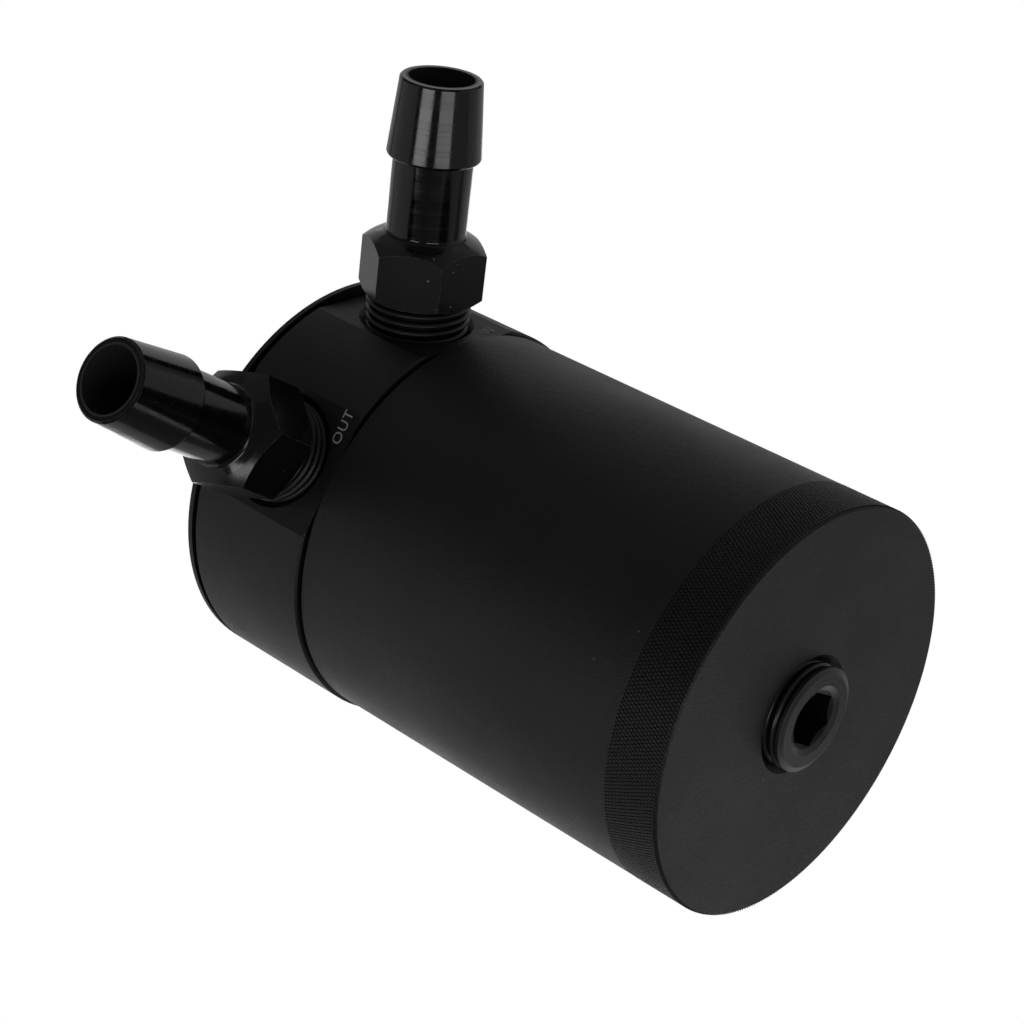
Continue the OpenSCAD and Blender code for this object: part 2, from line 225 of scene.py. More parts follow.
def multiply(tree, first, second):
    return doMath(tree, "MULTIPLY", first, second)

def makeStretch(tree, vector, scale):
    node = tree.nodes.new("ShaderNodeMapping")
    feed(tree, node.inputs["Vector"], vector)
    node.inputs["Scale"].default_value = scale
    return node.outputs[0]

def makeBlastGroup():
    # the fine pits of bead blasting, with a slow change of tone over them
    group, start, end = newGroup(
        "beadBlast", [("Place", "Vector", None), ("Grains per mm", "Float", 5.0)],
        [("Height", "Float"), ("Tone", "Float")])
    place, grains = start.outputs[0], start.outputs[1]
    fine = makeNoise(group, place, grains, 3.0, 0.65)
    coarse = makeNoise(group, place, multiply(group, grains, 0.22), 2.0, 0.5)
    height = doMath(group, "ADD", multiply(group, fine, 0.7), multiply(group, coarse, 0.3))
    slow = makeNoise(group, place, 0.045, 3.0, 0.55)
    speckle = makeRange(group, fine, 0.35, 0.70, -0.5, 0.5)
    cloud = makeRange(group, slow, 0.3, 0.7, -0.5, 0.5)
    tone = doMath(group, "ADD", cloud, multiply(group, speckle, 0.8))
    group.links.new(height, end.inputs["Height"])
    group.links.new(tone, end.inputs["Tone"])
    return group

def makeDustGroup():
    # sparse specks of dust, each of its own size, most of them too small to see
    group, start, end = newGroup(
        "dustSpecks", [("Place", "Vector", None), ("Spacing", "Float", 4.0), ("Largest", "Float", 0.1)],
        [("Mask", "Float")])
    place, spacing, largest = start.outputs[0], start.outputs[1], start.outputs[2]
    cells = group.nodes.new("ShaderNodeTexVoronoi")
    cells.feature = "F1"
    group.links.new(place, cells.inputs["Vector"])
    group.links.new(doMath(group, "DIVIDE", 1.0, spacing), cells.inputs["Scale"])
    split = group.nodes.new("ShaderNodeSeparateColor")
    group.links.new(cells.outputs["Color"], split.inputs[0])
    size = doMath(group, "POWER", split.outputs[0], 5.0)
    radius = doMath(group, "DIVIDE", multiply(group, size, largest), spacing)
    mask = makeRange(group, cells.outputs["Distance"], multiply(group, radius, 0.6), radius, 1.0, 0.0)
    group.links.new(mask, end.inputs["Mask"])
    return group

def makeLatheGroup():
    # the tool marks of turning: rings that change along Z of the place alone
    group, start, end = newGroup(
        "latheLines", [("Place", "Vector", None), ("Lines per mm", "Float", 6.0), ("Wobble", "Float", 0.02)],
        [("Height", "Float"), ("Tone", "Float")])
    place, lines, wobble = start.outputs[0], start.outputs[1], start.outputs[2]
    split = group.nodes.new("ShaderNodeSeparateXYZ")
    group.links.new(place, split.inputs[0])
    drift = multiply(group, makeNoise(group, place, 0.25, 1.0), wobble)
    along = doMath(group, "ADD", split.outputs[2], drift)
    fine = group.nodes.new("ShaderNodeTexNoise")
    fine.noise_dimensions = "1D"
    group.links.new(along, fine.inputs["W"])
    group.links.new(lines, fine.inputs["Scale"])
    fine.inputs["Detail"].default_value = 4.0
    fine.inputs["Roughness"].default_value = 0.7
    broad = group.nodes.new("ShaderNodeTexNoise")
    broad.noise_dimensions = "1D"
    group.links.new(along, broad.inputs["W"])
    broad.inputs["Scale"].default_value = 0.5
    group.links.new(fine.outputs["Fac"], end.inputs["Height"])
    tone = doMath(group, "ADD", makeRange(group, fine.outputs["Fac"], 0.3, 0.7, -0.5, 0.5),
                  makeRange(group, broad.outputs["Fac"], 0.3, 0.7, -0.3, 0.3))
    group.links.new(tone, end.inputs["Tone"])
    return group

def makeNickGroup():
    # short scratches and rubbed patches, where spanners and hands have been
    group, start, end = newGroup(
        "handlingMarks", [("Place", "Vector", None), ("Amount", "Float", 0.5)], [("Mask", "Float")])
    place, amount = start.outputs[0], start.outputs[1]
    thin = makeNoise(group, makeStretch(group, place, (0.35, 4.0, 1.6)), 1.1, 3.0, 0.6)
    cross = makeNoise(group, makeStretch(group, place, (3.2, 0.4, 1.2)), 1.0, 3.0, 0.6)
    patch = makeNoise(group, place, 0.16, 2.0, 0.5)
    oneWay = makeRange(group, thin, 0.66, 0.72, 0.0, 1.0)
    otherWay = makeRange(group, cross, 0.68, 0.74, 0.0, 1.0)
    lines = doMath(group, "MAXIMUM", oneWay, otherWay)
    where = makeRange(group, patch, 0.50, 0.66, 0.0, 1.0)
    group.links.new(multiply(group, multiply(group, lines, where), amount), end.inputs["Mask"])
    return group

def makeEdgeGroup():
    # edges painted lighter in patches: partly anodising rubbed thin, partly a painted highlight where a rounded
    # edge catches light
    group, start, end = newGroup(
        "rubbedEdgesAndHighlights", [("Place", "Vector", None), ("Width", "Float", 0.0001), ("Amount", "Float", 1.0)],
        [("Mask", "Float")])
    place, width, amount = start.outputs[0], start.outputs[1], start.outputs[2]
    rounded = group.nodes.new("ShaderNodeBevel")
    rounded.samples = 6
    group.links.new(width, rounded.inputs["Radius"])
    sharp = group.nodes.new("ShaderNodeNewGeometry").outputs["Normal"]
    agree = group.nodes.new("ShaderNodeVectorMath")
    agree.operation = "DOT_PRODUCT"
    group.links.new(rounded.outputs[0], agree.inputs[0])
    group.links.new(sharp, agree.inputs[1])
    edgeWearAndHighlight = makeRange(group, agree.outputs["Value"], 0.995, 0.960, 0.0, 1.0)
    patch = makeRange(group, makeNoise(group, place, 0.9, 3.0, 0.7), 0.42, 0.60, 0.15, 1.0)
    group.links.new(multiply(group, multiply(group, edgeWearAndHighlight, patch), amount), end.inputs["Mask"])
    return group

makeFloor()
blastGroup = makeBlastGroup()
dustGroup = makeDustGroup()
latheGroup = makeLatheGroup()
nickGroup = makeNickGroup()
edgeGroup = makeEdgeGroup()
print("floor and shader groups made")


# Materials

def startMaterial(name, colour, **values):
    material = bpy.data.materials.new(name)
    material.use_nodes = True
    tree = material.node_tree
    shader = next(n for n in tree.nodes if n.type == "BSDF_PRINCIPLED")
    shader.inputs["Base Color"].default_value = (*colour, 1)
    for label, value in values.items():
        shader.inputs[label.replace("_", " ")].default_value = value
    material.diffuse_color = (*colour, 1)
    return material, tree, shader

def placeInMm(tree, azimuth=None):
    # Object coordinates in millimetres. With an azimuth, Z runs along the port's axis and X points up.
    where = tree.nodes.new("ShaderNodeTexCoord").outputs["Object"]
    inMm = makeStretch(tree, where, (1 / mm, 1 / mm, 1 / mm))
    if azimuth is None:
        return inMm
    lift = tree.nodes.new("ShaderNodeVectorMath")
    lift.operation = "SUBTRACT"
    tree.links.new(inMm, lift.inputs[0])
    lift.inputs[1].default_value = (0, 0, portZ / mm)
    turned = tree.nodes.new("ShaderNodeMapping")
    turned.inputs["Rotation"].default_value = (0, 0, -math.radians(azimuth))
    tree.links.new(lift.outputs[0], turned.inputs["Vector"])
    tipped = tree.nodes.new("ShaderNodeMapping")
    tipped.inputs["Rotation"].default_value = (0, -math.pi / 2, 0)
    tree.links.new(turned.outputs[0], tipped.inputs["Vector"])
    return tipped.outputs[0]

def useGroup(tree, group, place, **values):
    node = tree.nodes.new("ShaderNodeGroup")
    node.node_tree = group
    tree.links.new(place, node.inputs["Place"])
    for label, value in values.items():
        feed(tree, node.inputs[label.replace("_", " ")], value)
    return node.outputs

def mixColour(tree, factor, first, second):
    node = tree.nodes.new("ShaderNodeMix")
    node.data_type = "RGBA"
    sockets = {s.identifier: s for s in node.inputs}
    feed(tree, sockets["Factor_Float"], factor)
    feed(tree, sockets["A_Color"], first if isinstance(first, bpy.types.NodeSocket) else (*first, 1))
    feed(tree, sockets["B_Color"], second if isinstance(second, bpy.types.NodeSocket) else (*second, 1))
    return next(s for s in node.outputs if s.identifier == "Result_Color")

def addBump(tree, shader, height, depthInMm, strength=1.0):
    bump = tree.nodes.new("ShaderNodeBump")
    bump.inputs["Distance"].default_value = depthInMm * mm
    bump.inputs["Strength"].default_value = strength
    tree.links.new(height, bump.inputs["Height"])
    tree.links.new(bump.outputs["Normal"], shader.inputs["Normal"])

def makeRadius(tree, place):
    # the distance from the Z axis, then x, y and z
    split = tree.nodes.new("ShaderNodeSeparateXYZ")
    tree.links.new(place, split.inputs[0])
    x, y, z = split.outputs
    square = doMath(tree, "ADD", multiply(tree, x, x), multiply(tree, y, y))
    return doMath(tree, "SQRT", square), (x, y, z)

def makeRingPlace(tree, radius, z):
    # turned faces and walls alike: the lathe lines then follow the radius plus z
    joined = tree.nodes.new("ShaderNodeCombineXYZ")
    tree.links.new(doMath(tree, "ADD", radius, z), joined.inputs[2])
    return joined.outputs[0]

def scaled(colour, factor):
    return tuple(min(1.0, c * factor) for c in colour)

blackAnodised = {
    "head": (0.0036, 0.0036, 0.0038),
    "can": (0.0038, 0.0038, 0.0040),
    "roughness": 0.50,
    "roughnessChange": 0.09,    # either way, with the grain
    "toneChange": 0.30,
    "grainsPerMm": 3.2,
    "grainDepth": 0.11,         # mm
    "dust": (0.20, 0.20, 0.20),
    "dustSpacing": 5.0,         # mm
    "dustLargest": 0.23,        # mm
}

def makeBlackAnodised(name, colour, threadBore=None):
    look = blackAnodised
    material, tree, shader = startMaterial(name, colour, Roughness=look["roughness"], IOR=1.5)
    place = placeInMm(tree)
    blast = useGroup(tree, blastGroup, place, Grains_per_mm=look["grainsPerMm"])
    dust = useGroup(tree, dustGroup, place, Spacing=look["dustSpacing"], Largest=look["dustLargest"])["Mask"]
    dark = scaled(colour, 1 - look["toneChange"])
    light = scaled(colour, 1 + look["toneChange"])
    toned = mixColour(tree, makeToneRange(tree, blast["Tone"], 0.0, 1.0), dark, light)
    tree.links.new(mixColour(tree, dust, toned, look["dust"]), shader.inputs["Base Color"])
    rough = makeSpread(tree, blast["Tone"], look["roughness"], look["roughnessChange"])
    tree.links.new(rough, shader.inputs["Roughness"])
    height = blast["Height"]
    if threadBore:
        # the turns of the can's own thread, on the wall of its bore
        radius, (x, y, z) = makeRadius(tree, place)
        turn = doMath(tree, "DIVIDE", doMath(tree, "ARCTAN2", y, x), 2 * math.pi)
        phase = doMath(tree, "SUBTRACT", doMath(tree, "DIVIDE", z, threadBore["pitch"]), turn)
        ridge = doMath(tree, "PINGPONG", phase, 0.5)
        inBore = multiply(tree, doMath(tree, "LESS_THAN", radius, threadBore["radius"]),
                          doMath(tree, "GREATER_THAN", z, threadBore["lowest"]))
        groove = multiply(tree, multiply(tree, ridge, inBore), threadBore["depth"] / look["grainDepth"])
        height = doMath(tree, "ADD", height, groove)
    addBump(tree, shader, height, look["grainDepth"])
    return material

glossBlack = {
    "colour": (0.0022, 0.0022, 0.0024),
    "roughness": 0.13,
    "roughnessChange": 0.11,    # from one tool mark to the next
    "linesPerMm": 2.6,
    "lineDepth": 0.0030,        # mm
    "cut": (45.6, 6.9),         # mm, the milled hexagon and its dome: up to here along the port, beyond this radius
    "cutRoughness": 0.22,
    "cutRoughnessChange": 0.06,
    "cutGrain": 4.0,            # the milled grain's depth, in line depths
    "cutGrainsPerMm": 2.5,
    "thread": 36.0,             # mm along the port, where the thread ends and the hexagon starts
    "threadColour": (0.009, 0.009, 0.009),
    "threadRoughness": 0.42,
    "bore": 5.5,                # mm, everything nearer to the axis is the dull inside
    # painted light: the bore's wall gets a lighter colour standing in for light that reaches into it
    "borePaintedLight": (0.024, 0.024, 0.024),
    "boreRoughness": 0.45,
    "nick": (0.10, 0.10, 0.10),
    "nickAmount": 0.7,
    "nickRoughness": 0.2,       # added
    # painted edge highlight, partly rubbed anodising
    "edgeWearAndHighlight": (0.075, 0.075, 0.075),
    "edgeWidth": 0.16,          # mm
    "dust": (0.34, 0.34, 0.34),
    "dustSpacing": 1.8,         # mm
    "dustLargest": 0.25,        # mm
    "dustOnBarb": 0.3,          # of what lies on the hexagon
}

def makeGlossBlack(name, azimuth):
    look = glossBlack
    material, tree, shader = startMaterial(name, look["colour"], Roughness=look["roughness"], IOR=1.5)
    place = placeInMm(tree, azimuth)
    lathe = useGroup(tree, latheGroup, place, Lines_per_mm=look["linesPerMm"])
    nicks = useGroup(tree, nickGroup, place, Amount=look["nickAmount"])["Mask"]
    dust = useGroup(tree, dustGroup, place, Spacing=look["dustSpacing"], Largest=look["dustLargest"])["Mask"]
    edgeWearAndHighlight = useGroup(tree, edgeGroup, place, Width=look["edgeWidth"] * mm)["Mask"]
    milled = useGroup(tree, blastGroup, place, Grains_per_mm=look["cutGrainsPerMm"])
    radius, (_, _, along) = makeRadius(tree, place)
    inside = doMath(tree, "LESS_THAN", radius, look["bore"])
    reach, core = look["cut"]
    cut = multiply(tree, doMath(tree, "GREATER_THAN", radius, core), doMath(tree, "LESS_THAN", along, reach))
    worn = mixColour(tree, nicks, look["colour"], look["nick"])
    dust = multiply(tree, dust, makeRange(tree, cut, 0.0, 1.0, look["dustOnBarb"], 1.0))
    dusty = mixColour(tree, dust, worn, look["dust"])
    threaded = doMath(tree, "LESS_THAN", along, look["thread"])
    edgeWearAndHighlight = multiply(tree, edgeWearAndHighlight, doMath(tree, "SUBTRACT", 1.0, threaded))
    # painted highlight along the hexagon's edges, partly rubbed anodising, kept off the thread
    dusty = mixColour(tree, edgeWearAndHighlight, dusty, look["edgeWearAndHighlight"])
    sealed = mixColour(tree, threaded, dusty, look["threadColour"])
    # painted light inside the bore: the wall is coloured lighter than the outside
    tree.links.new(mixColour(tree, inside, sealed, look["borePaintedLight"]), shader.inputs["Base Color"])
    turned = makeSpread(tree, lathe["Tone"], look["roughness"], look["roughnessChange"])
    rough = doMath(tree, "ADD", turned, multiply(tree, nicks, look["nickRoughness"]))
    dull = makeSpread(tree, milled["Tone"], look["cutRoughness"], look["cutRoughnessChange"])
    for where, level in ((cut, dull), (threaded, look["threadRoughness"]), (inside, look["boreRoughness"])):
        rough = doMath(tree, "MAXIMUM", rough, multiply(tree, where, level))
    tree.links.new(rough, shader.inputs["Roughness"])
    grain = multiply(tree, cut, multiply(tree, milled["Height"], look["cutGrain"]))
    height = doMath(tree, "ADD", lathe["Height"], grain)
    addBump(tree, shader, height, look["lineDepth"])
    return material

plugMetal = {
    "colour": (0.050, 0.050, 0.052),
    "toneChange": 0.3,
    "roughness": 0.28,
    "roughnessRange": (0.22, 0.36),
    "metallic": 0.6,
    "grainsPerMm": 6.0,
    "nick": (0.16, 0.16, 0.16),
    "nickAmount": 0.6,
    "linesPerMm": 3.0,
    "lineDepth": 0.006,         # mm
    "socket": (4.7, 0.35),      # mm, within this radius and deeper than this
    # painted shade: the hexagon socket's recess is coloured dark
    "socketPaintedShade": (0.008, 0.008, 0.008),
    "socketRoughness": 0.5,
}

def makePlugMetal():
    look = plugMetal
    material, tree, shader = startMaterial(
        "satinPlug", look["colour"], Roughness=look["roughness"], Metallic=look["metallic"])
    place = placeInMm(tree)
    radius, (_, _, z) = makeRadius(tree, place)
    rings = makeRingPlace(tree, radius, z)
    lathe = useGroup(tree, latheGroup, rings, Lines_per_mm=look["linesPerMm"], Wobble=0.0)
    blast = useGroup(tree, blastGroup, place, Grains_per_mm=look["grainsPerMm"])
    nicks = useGroup(tree, nickGroup, place, Amount=look["nickAmount"])["Mask"]
    tone = makeRange(tree, doMath(tree, "ADD", lathe["Tone"], blast["Tone"]), -1.2, 1.2, 0.0, 1.0)
    toned = mixColour(tree, tone, scaled(look["colour"], 1 - look["toneChange"]),
                      scaled(look["colour"], 1 + look["toneChange"]))
    wide, deep = look["socket"]
    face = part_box("drain_plug")[0].z / mm
    socket = multiply(tree, doMath(tree, "LESS_THAN", radius, wide), doMath(tree, "GREATER_THAN", z, face + deep))
    used = mixColour(tree, nicks, toned, look["nick"])
    # painted shade in the hexagon socket
    tree.links.new(mixColour(tree, socket, used, look["socketPaintedShade"]), shader.inputs["Base Color"])
    rough = makeToneRange(tree, lathe["Tone"], *look["roughnessRange"])
    rough = doMath(tree, "MAXIMUM", rough, multiply(tree, socket, look["socketRoughness"]))
    tree.links.new(rough, shader.inputs["Roughness"])
    height = multiply(tree, lathe["Height"], doMath(tree, "SUBTRACT", 1.0, socket))
    addBump(tree, shader, height, look["lineDepth"])
    return material

rubber = {
    "colour": (0.016, 0.016, 0.016),
    "dark": (0.011, 0.011, 0.011),
    "light": (0.022, 0.022, 0.021),
    "roughness": 0.62,
    "roughnessChange": 0.10,
    "grainsPerMm": 3.0,
    "grainDepth": 0.01,         # mm
    "dust": (0.12, 0.12, 0.11),
    "dustSpacing": 2.5,         # mm
    "dustLargest": 0.12,        # mm
}

def makeRubber():
    look = rubber
    material, tree, shader = startMaterial("sealRubber", look["colour"], Roughness=look["roughness"])
    place = placeInMm(tree)
    blast = useGroup(tree, blastGroup, place, Grains_per_mm=look["grainsPerMm"])
    dust = useGroup(tree, dustGroup, place, Spacing=look["dustSpacing"], Largest=look["dustLargest"])["Mask"]
    toned = mixColour(tree, makeToneRange(tree, blast["Tone"], 0.0, 1.0), look["dark"], look["light"])
    tree.links.new(mixColour(tree, dust, toned, look["dust"]), shader.inputs["Base Color"])
    rough = makeSpread(tree, blast["Tone"], look["roughness"], look["roughnessChange"])
    tree.links.new(rough, shader.inputs["Roughness"])
    addBump(tree, shader, blast["Height"], look["grainDepth"])
    return material

bareMetals = {
    "bareAluminium": {"colour": (0.56, 0.57, 0.58), "roughness": 0.34, "linesPerMm": 4.0},
    "zincPlatedSteel": {"colour": (0.46, 0.46, 0.44), "roughness": 0.38, "linesPerMm": 5.0},
}
bareTones = {"dark": 0.82, "light": 1.12, "nick": 0.6}      # times a bare metal's colour

def makeBareMetal(name):
    colour, roughness, linesPerMm = bareMetals[name].values()
    material, tree, shader = startMaterial(name, colour, Roughness=roughness, Metallic=1.0)
    place = placeInMm(tree)
    radius, (_, _, z) = makeRadius(tree, place)
    rings = makeRingPlace(tree, radius, z)
    lathe = useGroup(tree, latheGroup, rings, Lines_per_mm=linesPerMm, Wobble=0.0)
    nicks = useGroup(tree, nickGroup, place, Amount=0.5)["Mask"]
    blast = useGroup(tree, blastGroup, place, Grains_per_mm=1.5)
    dark, light, nick = (scaled(colour, bareTones[key]) for key in ("dark", "light", "nick"))
    toned = mixColour(tree, makeToneRange(tree, blast["Tone"], 0.0, 1.0), dark, light)
    tree.links.new(mixColour(tree, nicks, toned, nick), shader.inputs["Base Color"])
    rough = makeToneRange(tree, lathe["Tone"], roughness - 0.07, roughness + 0.09)
    tree.links.new(rough, shader.inputs["Roughness"])
    addBump(tree, shader, lathe["Height"], 0.006)
    return material

sinteredBronze = {
    "colour": (0.30, 0.165, 0.075),
    "dark": (0.10, 0.055, 0.028),
    "grainsPerMm": 2.6,
    "grainDepth": 0.12,         # mm
    "roughness": 0.48,
    "metallic": 0.9,
}

def makeSinteredBronze():
    look = sinteredBronze
    material, tree, shader = startMaterial(
        "sinteredBronze", look["colour"], Roughness=look["roughness"], Metallic=look["metallic"])
    place = placeInMm(tree)
    grains = tree.nodes.new("ShaderNodeTexVoronoi")
    tree.links.new(place, grains.inputs["Vector"])
    grains.inputs["Scale"].default_value = look["grainsPerMm"]
    dome = makeRange(tree, grains.outputs["Distance"], 0.0, 0.6, 1.0, 0.0)
    stain = makeNoise(tree, place, 0.15, 3.0)
    # dark between the grains and in stained patches
    between = makeRange(tree, dome, 0.0, 0.45, 1.0, 0.0)
    gapsAndStains = doMath(tree, "ADD", between, makeRange(tree, stain, 0.5, 0.8, 0.0, 0.5))
    darkening = makeRange(tree, gapsAndStains, 0.0, 1.0, 0.0, 1.0)
    tree.links.new(mixColour(tree, darkening, look["colour"], look["dark"]), shader.inputs["Base Color"])
    tree.links.new(makeRange(tree, dome, 0.0, 1.0, 0.7, 0.38), shader.inputs["Roughness"])
    addBump(tree, shader, dome, look["grainDepth"])
    return material

etched = {
    "colour": (0.42, 0.42, 0.42),
    "dark": (0.27, 0.27, 0.27),
    "light": (0.50, 0.50, 0.50),
    "roughness": 0.7,
    "grainsPerMm": 8.0,
    "grainDepth": 0.01,         # mm
}

def makeEtched():
    look = etched
    material, tree, shader = startMaterial("laserMark", look["colour"], Roughness=look["roughness"])
    place = placeInMm(tree)
    blast = useGroup(tree, blastGroup, place, Grains_per_mm=look["grainsPerMm"])
    toned = mixColour(tree, makeToneRange(tree, blast["Tone"], 0.0, 1.0), look["dark"], look["light"])
    tree.links.new(toned, shader.inputs["Base Color"])
    addBump(tree, shader, blast["Height"], look["grainDepth"])
    return material

threadBore = {"pitch": 1.5, "depth": 0.8, "radius": 28.45, "lowest": endZ / mm + 58.0}   # mm
headBlack = makeBlackAnodised("blastedBlackHead", blackAnodised["head"])
canBlack = makeBlackAnodised("blastedBlackCan", blackAnodised["can"], threadBore)
outletGloss = makeGlossBlack("glossBlackOutlet", outletAzimuth)
inletGloss = makeGlossBlack("glossBlackInlet", inletAzimuth)
satinPlug = makePlugMetal()
sealRubber = makeRubber()
bareAluminium = makeBareMetal("bareAluminium")
zincSteel = makeBareMetal("zincPlatedSteel")
bronze = makeSinteredBronze()
laserMark = makeEtched()

finishes = {
    "head": headBlack, "can": canBlack, "can_seal": sealRubber, "drain_plug": satinPlug,
    "outlet_fitting": outletGloss, "inlet_fitting": inletGloss, "inlet_tube": bareAluminium,
    "filter_top_seal": sealRubber, "filter_sleeve": bronze, "filter_bottom_seal": sealRubber,
    "baffle_plate": bareAluminium, "centre_bolt": zincSteel,
}
for name, finish in finishes.items():
    slots = nodes[name].material_slots
    if slots:
        for slot in slots:
            slot.material = finish
    else:
        nodes[name].data.materials.append(finish)
print("materials made for", len(finishes), "CAD pieces")


# Geometry Nodes: a tree for the knurl and one shared by every thread

def newTree(name, inputs):
    tree = bpy.data.node_groups.new(name, "GeometryNodeTree")
    for label, kind, value in inputs:
        socket = tree.interface.new_socket(label, in_out="INPUT", socket_type="NodeSocket" + kind)
        if value is not None:
            socket.default_value = value
    tree.interface.new_socket("Geometry", in_out="OUTPUT", socket_type="NodeSocketGeometry")
    return tree, tree.nodes.new("NodeGroupInput").outputs, tree.nodes.new("NodeGroupOutput").inputs

def joinXyz(tree, x, y, z):
    node = tree.nodes.new("ShaderNodeCombineXYZ")
    for i, value in enumerate((x, y, z)):
        feed(tree, node.inputs[i], value)
    return node.outputs[0]

def finishTree(tree, geometry, material, end):
    realize = tree.nodes.new("GeometryNodeRealizeInstances")
    paint = tree.nodes.new("GeometryNodeSetMaterial")
    tree.links.new(geometry, realize.inputs[0])
    tree.links.new(realize.outputs[0], paint.inputs["Geometry"])
    tree.links.new(material, paint.inputs["Material"])
    tree.links.new(paint.outputs[0], end["Geometry"])

def makeKnurlTree():
    tree, start, end = newTree("knurlDiamonds", [
        ("Around", "Int", 340), ("Rows", "Int", 16), ("Radius", "Float", 0.03235), ("First row", "Float", 0.0),
        ("Row step", "Float", 0.00054), ("Width", "Float", 0.0006), ("Length", "Float", 0.00108),
        ("Height", "Float", 0.00027), ("Flat top", "Float", 0.2), ("Finish", "Material", None)])
    index = tree.nodes.new("GeometryNodeInputIndex").outputs[0]
    row = doMath(tree, "FLOOR", doMath(tree, "DIVIDE", index, start["Around"]))
    column = doMath(tree, "SUBTRACT", index, multiply(tree, row, start["Around"]))
    shift = doMath(tree, "FRACT", multiply(tree, row, 0.5))      # every second row by half a diamond
    turns = doMath(tree, "DIVIDE", doMath(tree, "ADD", column, shift), start["Around"])
    angle = multiply(tree, turns, 2 * math.pi)
    x = multiply(tree, doMath(tree, "COSINE", angle), start["Radius"])
    y = multiply(tree, doMath(tree, "SINE", angle), start["Radius"])
    z = doMath(tree, "ADD", start["First row"], multiply(tree, row, start["Row step"]))
    points = tree.nodes.new("GeometryNodePoints")
    tree.links.new(multiply(tree, start["Around"], start["Rows"]), points.inputs["Count"])
    tree.links.new(joinXyz(tree, x, y, z), points.inputs["Position"])
    # one diamond: a four-sided cone with a flat top, whose axis becomes the way out of the can
    cone = tree.nodes.new("GeometryNodeMeshCone")
    cone.inputs["Vertices"].default_value = 4
    tree.links.new(multiply(tree, start["Flat top"], 0.5), cone.inputs["Radius Top"])
    cone.inputs["Radius Bottom"].default_value = 0.5
    cone.inputs["Depth"].default_value = 1.0
    shape = tree.nodes.new("GeometryNodeTransform")
    tree.links.new(cone.outputs["Mesh"], shape.inputs["Geometry"])
    tree.links.new(joinXyz(tree, start["Length"], start["Width"], start["Height"]), shape.inputs["Scale"])
    place = tree.nodes.new("GeometryNodeInstanceOnPoints")
    tree.links.new(points.outputs[0], place.inputs["Points"])
    tree.links.new(shape.outputs[0], place.inputs["Instance"])
    tree.links.new(joinXyz(tree, 0.0, math.pi / 2, angle), place.inputs["Rotation"])
    finishTree(tree, place.outputs[0], start["Finish"], end)
    return tree

def makeThreadTree():
    tree, start, end = newTree("threadRidge", [
        ("Pitch", "Float", 0.0015), ("Turns", "Float", 4.0), ("Steps", "Int", 72),
        ("Start radius", "Float", 0.01), ("End radius", "Float", 0.01), ("Depth", "Float", 0.0008),
        ("Crest", "Float", 0.0002), ("Root", "Float", 0.0013), ("Fade turns", "Float", 0.35),
        ("Finish", "Material", None)])
    spiral = tree.nodes.new("GeometryNodeCurveSpiral")
    for label, value in (("Resolution", start["Steps"]), ("Rotations", start["Turns"]),
                         ("Start Radius", start["Start radius"]), ("End Radius", start["End radius"]),
                         ("Height", multiply(tree, start["Pitch"], start["Turns"]))):
        tree.links.new(value, spiral.inputs[label])
    spiral.inputs["Reverse"].default_value = True       # a right-handed thread
    upright = tree.nodes.new("GeometryNodeSetCurveNormal")
    upright.mode = "Z_UP"
    tree.links.new(spiral.outputs[0], upright.inputs["Curve"])
    # the ridge fades to nothing at both ends
    factor = tree.nodes.new("GeometryNodeSplineParameter").outputs["Factor"]
    nearest = doMath(tree, "MINIMUM", factor, doMath(tree, "SUBTRACT", 1.0, factor))
    grown = doMath(tree, "DIVIDE", multiply(tree, nearest, start["Turns"]), start["Fade turns"])
    size = tree.nodes.new("GeometryNodeSetCurveRadius")
    tree.links.new(upright.outputs[0], size.inputs["Curve"])
    thinnest = 0.02                                     # of the full ridge
    tree.links.new(doMath(tree, "MAXIMUM", doMath(tree, "MINIMUM", grown, 1.0), thinnest), size.inputs["Radius"])
    profile = tree.nodes.new("GeometryNodeCurvePrimitiveQuadrilateral")
    profile.mode = "TRAPEZOID"
    tree.links.new(start["Root"], profile.inputs["Bottom Width"])
    tree.links.new(start["Crest"], profile.inputs["Top Width"])
    tree.links.new(start["Depth"], profile.inputs["Height"])
    profile.inputs["Offset"].default_value = 0.0
    stand = tree.nodes.new("GeometryNodeTransform")
    tree.links.new(profile.outputs[0], stand.inputs["Geometry"])
    raised = multiply(tree, start["Depth"], 0.5)
    tree.links.new(joinXyz(tree, 0.0, raised, 0.0), stand.inputs["Translation"])
    turn = tree.nodes.new("GeometryNodeTransform")
    tree.links.new(stand.outputs[0], turn.inputs["Geometry"])
    turn.inputs["Rotation"].default_value = (0, 0, -math.pi / 2)
    sweep = tree.nodes.new("GeometryNodeCurveToMesh")
    tree.links.new(size.outputs[0], sweep.inputs["Curve"])
    tree.links.new(turn.outputs[0], sweep.inputs["Profile Curve"])
    sweep.inputs["Fill Caps"].default_value = True
    finishTree(tree, sweep.outputs[0], start["Finish"], end)
    return tree

def growPiece(name, tree, values, body, place=Matrix.Identity(4)):
    piece = bpy.data.objects.new(name, bpy.data.meshes.new(name))
    bpy.context.scene.collection.objects.link(piece)
    modifier = piece.modifiers.new(name, "NODES")
    modifier.node_group = tree
    sockets = {item.name: item.identifier for item in tree.interface.items_tree if item.in_out == "INPUT"}
    for label, value in values.items():
        modifier[sockets[label]] = value
    evaluated = piece.evaluated_get(bpy.context.evaluated_depsgraph_get())
    mesh = bpy.data.meshes.new_from_object(evaluated)
    piece.modifiers.clear()
    piece.data = mesh
    mesh.name = name
    mesh.transform(place)
    mesh.validate()
    pointOutwards(mesh)
    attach(piece, body)
    print(name, "has", len(mesh.polygons), "faces")

